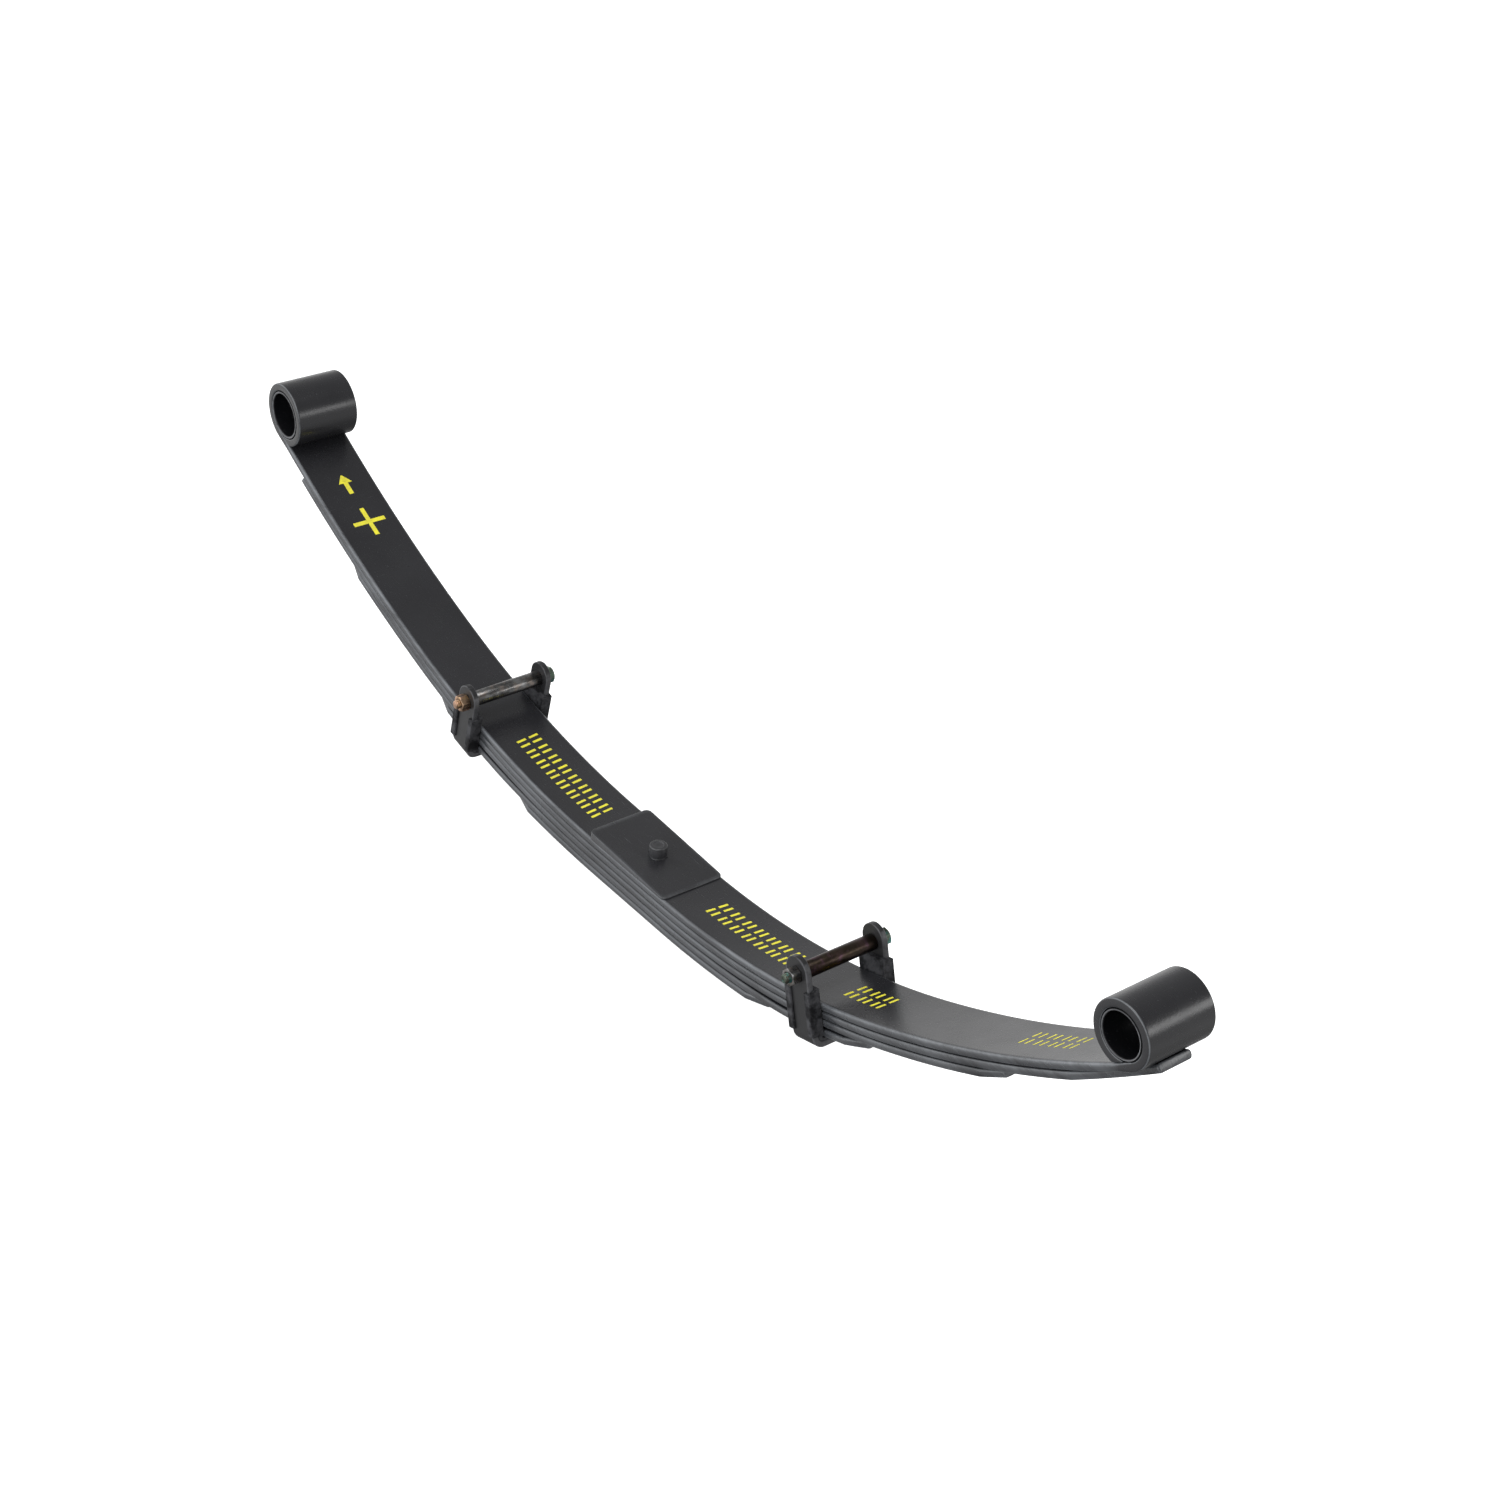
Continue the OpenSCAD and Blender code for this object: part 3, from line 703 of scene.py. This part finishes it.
def eye_frame(side):
    """Frame at the middle of an eye whose Z lies across the leaves."""
    point, _, normal = along(MAIN_CHAIN[side], side, 0.0, REACH[side])
    centre = point + normal * EYE_R[side] * MM
    return Matrix.Translation(centre) @ Matrix.Rotation(math.pi / 2, 4, "X")


for side in SIDES:
    outer, inner, half = EYE_R[side] - 0.06, BORE_R[side], HALF_W - 0.05
    # One rim of the sleeve as (radius, distance from the end, abrasion and painted light), from the roll to
    # the bore: painted shade in the joint against the roll, then a pale ring of painted highlight on the end
    # face.
    rim = [(outer, 1.8, -1.0), (outer - 0.5, 0.5, -0.6), (outer - 0.9, 0.0, 0.7), (inner + 0.6, 0.0, 0.7),
           (inner + 0.2, 0.2, 0.3), (inner, 1.0, 0.0), (inner, 2.0, 0.0)]
    profile = [(r, d - half) for r, d, _ in reversed(rim)] + [(r, half - d) for r, d, _ in rim]
    rubbed_and_painted_light = [w for _, _, w in list(reversed(rim)) + rim for _ in range(SLEEVE_STEPS)]
    verts, faces = lathe(profile, SLEEVE_STEPS, closed=True)
    piece = add_piece(f"{side}_eye_sleeve_tube", bring(verts, eye_frame(side)), faces, SHADED_SLEEVE_PAINT,
                      "sleeve_steel", (f"{side}_eye_sleeve",), sharp=50, wear_and_light=rubbed_and_painted_light)
    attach(piece, f"{side}_eye")


# ---- Rebound clips, around a point on the main leaf's upper face ----

def clip_frame(side):
    """Frame at the clip with X along the leaf and Z out of its upper face."""
    point, out, normal = along(MAIN_CHAIN[side], side, 0.0, CLIP_AT)
    m = Matrix.Identity(4)
    for i in range(3):
        m[i][0], m[i][1], m[i][2], m[i][3] = out[i], (0, 1, 0)[i], normal[i], point[i]
    return m


def strap_shape():
    """U-shaped strap swept from one round lug, under the leaves and up to the other."""
    lug = STRAP_W / 2
    bend = STRAP_BEND + STRAP_T / 2
    low = STRAP_FLOOR - STRAP_T / 2
    y_leg = LEG_IN + STRAP_T / 2
    path = []        # (y, z, direction of the inner face's normal, half width)
    for i in range(13):
        a = math.radians(87 - 87 * i / 12)
        path.append((y_leg, BOLT_Z + LUG_RISE + lug * math.sin(a), 180.0, lug * math.cos(a)))
    path += [(y_leg, z, 180.0, lug) for z in (16.0, 2.0, -12.0)]
    corner_y, corner_z = y_leg - bend, low + bend
    for i in range(9):
        a = math.radians(-90 * i / 8)
        y, z = corner_y + bend * math.cos(a), corner_z + bend * math.sin(a)
        path.append((y, z, 180.0 + math.degrees(a), lug))
    path.append((20.0, low, 90.0, lug))
    full = path + [(-y, z, 180.0 - d, w) for y, z, d, w in reversed(path)]
    rings = []
    for y, z, facing, half in full:
        n = Vector((0, math.cos(math.radians(facing)), math.sin(math.radians(facing))))
        ring = []
        for d, x, _ in rounded_section(max(half, 0.6), -STRAP_T / 2, STRAP_T / 2, 0.9, 3, 0.5):
            ring.append(Vector((x, y, z)) - n * d)
        rings.append(ring)
    return loft(rings)


def prism(low_ring, high_ring, radius):
    """Closed shape between two outlines with its hard edges rounded."""
    bm = bmesh.new()
    rings = [[bm.verts.new(v) for v in ring] for ring in (low_ring, high_ring)]
    n = len(low_ring)
    bm.faces.new(rings[0])
    bm.faces.new(rings[1][::-1])
    for j in range(n):
        k = (j + 1) % n
        bm.faces.new((rings[0][j], rings[0][k], rings[1][k], rings[1][j]))
    bmesh.ops.recalc_face_normals(bm, faces=bm.faces)
    edges = [e for e in bm.edges if e.calc_face_angle(0.0) > math.radians(25)]
    bmesh.ops.bevel(bm, geom=edges, offset=radius, segments=2, affect="EDGES", clamp_overlap=True)
    bm.verts.index_update()
    verts = [v.co.copy() for v in bm.verts]
    faces = [tuple(v.index for v in f.verts) for f in bm.faces]
    bm.free()
    return verts, faces


def liner_shape():
    """Left liner: a wall whose sides fold around the strap, and a foot under the fourth leaf."""
    side, full = STRAP_W / 2 + LINER_GAP, STRAP_W / 2 + LINER_GAP + 2.0
    inner, outer, lip = HALF_W + 0.3, LEG_OUT + LINER_GAP + 1.9, 6.5
    back, front = LEG_IN - LINER_GAP, LEG_OUT + LINER_GAP
    half = [(full, inner), (full, outer - 0.2), (full - 1.2, outer), (full - lip + 0.9, outer),
            (full - lip, outer - 0.7), (full - lip, front), (side, front), (side, back)]
    outline = [(x, -y) for x, y in half] + [(-x, -y) for x, y in reversed(half)]
    low, high = STRAP_FLOOR + STRAP_BEND + 0.05, LINER_TOP
    low_ring, high_ring = [], []
    for x, y in outline:
        lip_here = abs(y) > LEG_OUT
        low_ring.append((x, y, low + (1.8 if lip_here else 0.0)))
        high_ring.append((x, y, high - (2.2 if lip_here else 0.0)))
    corner_y, corner_z, r = STRAP_BEND - LEG_IN, STRAP_FLOOR + STRAP_BEND, STRAP_BEND - LINER_GAP
    section = [(-inner, -12.0), (-back, -12.0)]
    for i in range(7):
        a = math.radians(180 + 15 * i)
        section.append((corner_y + r * math.cos(a), corner_z + r * math.sin(a)))
    foot_top = STRAP_FLOOR + PACK_GAP - LINER_GAP
    section += [(-10.0, STRAP_FLOOR + LINER_GAP), (-10.0, foot_top), (-inner, foot_top)]
    foot = [[(x, y, z) for y, z in section] for x in (-side + 0.05, side - 0.05)]
    return join(prism(low_ring, high_ring, 0.35), prism(foot[0], foot[1], 0.3))


def across(y, away=1.0):
    """Frame on the clip bolt's axis at y, with Z pointing along away * Y."""
    turn = Matrix.Rotation(-away * math.pi / 2, 4, "X")
    return Matrix.Translation((0, y * MM, BOLT_Z * MM)) @ turn


def add_clip(side):
    """Strap, liners, spacer, bolt, nut and rivet of one clip."""
    place = clip_frame(side)
    body = f"{side}_clip"
    tube_finish, nut_finish, end_finish = DARK_ZINC, GREY_ZINC, GREEN_ZINC
    if side == "front":
        tube_finish, nut_finish, end_finish = GREY_ZINC, COPPER_ZINC, COPPER_ZINC

    def add(name, shape, local, material, slot, node, **more):
        verts, faces = shape
        piece = add_piece(f"{body}_{name}", bring(verts, place @ local), faces, material, slot,
                          (f"{body}_{node}",), **more)
        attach(piece, body)

    still = Matrix.Identity(4)
    add("strap_bar", strap_shape(), still, STRAP_PAINT, "clip_steel", "strap", sharp=50)
    add("left_liner_shell", liner_shape(), still, PLASTIC, "liner_plastic", "left_liner", sharp=30)
    other = Matrix.Scale(-1, 4, (0, 1, 0))
    add("right_liner_shell", liner_shape(), other, PLASTIC, "liner_plastic", "right_liner", sharp=30)
    tube = []
    for s in (-1, 1):
        face = LEG_IN - 0.1
        ends = [(SPACER_R, s * (face - 0.7)), (SPACER_R - 0.4, s * face)]
        ends += [(SPACER_BORE + 0.4, s * face), (SPACER_BORE, s * (face - 0.4))]
        tube += ends[::-1] if s < 0 else ends
    spacer = lathe(tube, 48, closed=True)
    add("spacer_tube", spacer, across(0.0), tube_finish, "clip_bolt_zinc", "spacer", sharp=40)
    near, far = across(-LEG_OUT, -1.0), across(LEG_OUT, 1.0)
    nut = hexagon(CLIP_FLATS, CLIP_NUT_H, CLIP_BOLT_R + 0.05)
    add("nut_hex", nut, near, nut_finish, "clip_bolt_zinc", "nut")
    add("bolt_thread", thread(CLIP_BOLT_R, 0.5, CLIP_BOLT_END), near, end_finish, "clip_bolt_zinc", "bolt")
    add("bolt_head", hexagon(CLIP_FLATS, CLIP_NUT_H), far, GREEN_ZINC, "clip_bolt_zinc", "bolt")
    down = Matrix.Translation((0, 0, (STRAP_FLOOR - STRAP_T) * MM)) @ Matrix.Rotation(math.pi, 4, "X")
    head = [(0.3, 0.0), (7.2, 0.0), (7.9, 0.5), (7.7, 1.3), (6.6, 2.2), (5.0, 2.9), (3.0, 3.3), (1.0, 3.45)]
    add("rivet_head", lathe(head, 40), down, STRAP_PAINT, "clip_steel", "rivet", sharp=60)


for side in SIDES:
    add_clip(side)


# ---- Stencilled marks: thin paint that follows the main leaf ----

PAINT_H, PAINT_SUNK, PAINT_STEP = 0.10, 0.08, 4.0
STROKE = 2.4
PAIR_PITCH, PAIR_GAP = 15.4, 6.6


def paint_patch(side, corners):
    """A patch of paint from four (distance, across) corners, split along the leaf."""
    spans = [abs(corners[1][0] - corners[0][0]), abs(corners[2][0] - corners[3][0]),
             abs(corners[3][0] - corners[0][0]), abs(corners[2][0] - corners[1][0])]
    nu = max(1, math.ceil(max(spans[0], spans[1]) / PAINT_STEP))
    nv = max(1, math.ceil(max(spans[2], spans[3]) / PAINT_STEP))

    def between(axis, u, v):
        low = corners[0][axis] * (1 - u) + corners[1][axis] * u
        high = corners[3][axis] * (1 - u) + corners[2][axis] * u
        return low * (1 - v) + high * v

    def spot(u, v, lift):
        point, _, normal = along(MAIN_CHAIN[side], side, 0.0, between(0, u, v))
        return point + Vector((0, (between(1, u, v) - HALF_W) * MM, 0)) + normal * lift * MM

    verts, faces = [], []
    for lift in (PAINT_H, -PAINT_SUNK):
        for i in range(nu + 1):
            for j in range(nv + 1):
                verts.append(spot(i / nu, j / nv, lift))
    row, layer = nv + 1, (nu + 1) * (nv + 1)
    for i in range(nu):
        for j in range(nv):
            a = i * row + j
            faces.append((a, a + 1, a + row + 1, a + row))
            faces.append((layer + a, layer + a + row, layer + a + row + 1, layer + a + 1))
    rim = [i * row for i in range(nu + 1)] + [nu * row + j for j in range(1, nv + 1)]
    rim += [i * row + nv for i in range(nu - 1, -1, -1)] + list(range(nv - 1, 0, -1))
    for a, b in zip(rim, rim[1:] + rim[:1]):
        faces.append((a, b, layer + b, layer + a))
    return verts, faces


def bar(s0, y0, s1, y1, width):
    """Corners of a straight stroke between two points."""
    ds, dy = s1 - s0, y1 - y0
    length = math.hypot(ds, dy)
    ns, ny = -dy / length * width / 2, ds / length * width / 2
    return [(s0 - ns, y0 - ny), (s1 - ns, y1 - ny), (s1 + ns, y1 + ny), (s0 + ns, y0 + ny)]


def add_marks(name, side, patches):
    """One piece of paint shaped to the main leaf's upper face."""
    verts, faces = join(*[paint_patch(side, p) for p in patches])
    piece = add_piece(name, verts, faces, YELLOW, "marking_paint")
    spread(piece)


arrow_head = [(524.0, 25.2), (524.0, 38.8), (533.0, 32.6), (533.0, 31.4)]
arrow = [bar(511.0, 32.0, 526.5, 32.0, 4.4), arrow_head]
cross = [bar(461.0, 32.0, 493.0, 32.0, 4.2)]
cross += [bar(477.0, low, 477.0, high, 4.2) for low, high in ((16.0, 29.8), (34.2, 48.0))]
add_marks("mark_arrow", "front", arrow)
add_marks("mark_cross", "front", cross)


def bar_pairs(start, count, low, high, stroke=STROKE):
    """Generic stencil: pairs of slanted strokes, broken by the stencil's bridge, that spell nothing."""
    out = []
    slant, bridge, middle = 2.0, 1.7, (low + high) / 2
    for i in range(count):
        for s in (start + PAIR_PITCH * i, start + PAIR_PITCH * i + PAIR_GAP):
            out.append(bar(s, low, s + slant * 0.45, middle - bridge, stroke))
            out.append(bar(s + slant * 0.55, middle + bridge, s + slant, high, stroke))
    return out


add_marks("mark_bars_front", "front", bar_pairs(78.0, 8, 18.0, 40.0))
add_marks("mark_bars_rear_inner", "rear", bar_pairs(80.0, 8, 20.0, 40.0))
add_marks("mark_bars_rear_outer", "rear", bar_pairs(253.0, 3, 20.0, 40.0))
add_marks("mark_bars_rear_end", "rear", bar_pairs(446.0, 4, 22.0, 42.0, 1.5))


# ---- Camera ----

cam_data = bpy.data.cameras.new("camera")
cam_data.sensor_width = 36.0
cam_data.lens = 60.80
cam_data.clip_end = 50.0
camera = bpy.data.objects.new("camera", cam_data)
bpy.context.scene.collection.objects.link(camera)
RIGHT = Vector((0.60467645, 0.79457321, 0.05495279))
DOWN = Vector((0.4598826, -0.29197625, -0.83860471))
AHEAD = Vector((-0.65028793, 0.53235635, -0.54196155))
pose = Matrix.Identity(4)
for i in range(3):
    pose[i][0], pose[i][1], pose[i][2] = RIGHT[i], -DOWN[i], -AHEAD[i]
    pose[i][3] = (1.34595, -1.01262, 1.19260)[i]
camera.matrix_world = pose
bpy.context.scene.camera = camera
bpy.context.scene.view_settings.view_transform = "Standard"

# ---- Floor and studio light ----

FLOOR_HALF, FLOOR_GAP = 20.0, 0.0005
lowest = CAD_BOX[0][2]
bm = bmesh.new()
bmesh.ops.create_grid(bm, x_segments=1, y_segments=1, size=FLOOR_HALF)
floor_mesh = bpy.data.meshes.new("floor")
bm.to_mesh(floor_mesh)
bm.free()
floor = bpy.data.objects.new("floor", floor_mesh)
floor.location = (0, 0, lowest - FLOOR_GAP)
bpy.context.scene.collection.objects.link(floor)
floor.visible_diffuse = False
floor.visible_glossy = False
n = Nodes("floor_white")
n.shader.inputs["Emission Color"].default_value = rgb(1, 1, 1)
n.shader.inputs["Emission Strength"].default_value = 0.80
floor_mesh.materials.append(n.finish(rgb(0.82, 0.82, 0.82), 0.9, None, Specular_IOR_Level=0.1))

world = bpy.data.worlds.new("studio")
bpy.context.scene.world = world
world.use_nodes = True
tree = world.node_tree
back = tree.nodes["Background"]
coord = tree.nodes.new("ShaderNodeTexCoord")
split = tree.nodes.new("ShaderNodeSeparateXYZ")
tree.links.new(coord.outputs["Generated"], split.inputs[0])


def sky_part(axis, stops):
    """Brightness of the studio along one axis, from -1 to 1."""
    fit = tree.nodes.new("ShaderNodeMapRange")
    fit.inputs["From Min"].default_value = -1.0
    tree.links.new(split.outputs[axis], fit.inputs["Value"])
    ramp = tree.nodes.new("ShaderNodeValToRGB")
    tree.links.new(fit.outputs["Result"], ramp.inputs["Fac"])
    band = ramp.color_ramp.elements
    while len(band) < len(stops):
        band.new(0.5)
    for stop, (at, level) in zip(band, stops):
        stop.position = (at + 1) / 2
        stop.color = rgb(level, level, level)
    return ramp.outputs["Color"]


level = tree.nodes.new("ShaderNodeMix")
level.data_type = "RGBA"
level.blend_type = "MULTIPLY"
level.inputs[0].default_value = 1.0
UPWARD = [(-1.0, 0.15), (-0.75, 0.40), (-0.45, 0.95), (0.0, 1.0), (0.35, 0.55), (1.0, 0.40)]
SIDEWAYS = [(-1.0, 1.0), (-0.3, 0.85), (0.3, 0.7), (1.0, 0.7)]
tree.links.new(sky_part("Z", UPWARD), level.inputs[6])
tree.links.new(sky_part("X", SIDEWAYS), level.inputs[7])
tree.links.new(level.outputs[2], back.inputs["Color"])
back.inputs["Strength"].default_value = 1.1


def softbox(name, at, aim, size, power, colour=(1.0, 1.0, 1.0)):
    """A rectangular area light, in metres and watts, that faces a point."""
    data = bpy.data.lights.new(name, "AREA")
    data.shape = "RECTANGLE"
    data.size, data.size_y = size
    data.energy = power
    data.color = colour
    light = bpy.data.objects.new(name, data)
    light.location = at
    light.rotation_euler = (Vector(aim) - Vector(at)).to_track_quat("-Z", "Y").to_euler()
    bpy.context.scene.collection.objects.link(light)


softbox("left_softbox", (-1.6, -1.4, 1.15), (0, 0, 0.05), (3.8, 2.4), 37, (0.95, 0.98, 1.0))
softbox("front_softbox", (0.5, -2.3, 0.9), (0, 0, 0.05), (3.6, 1.7), 48, (0.95, 0.98, 1.0))
softbox("back_strip", (1.75, 1.2, 0.75), (0, 0, 0.1), (0.9, 0.5), 6)
softbox("top_softbox", (0.2, -0.3, 2.4), (0, 0, 0), (1.6, 1.2), 24)
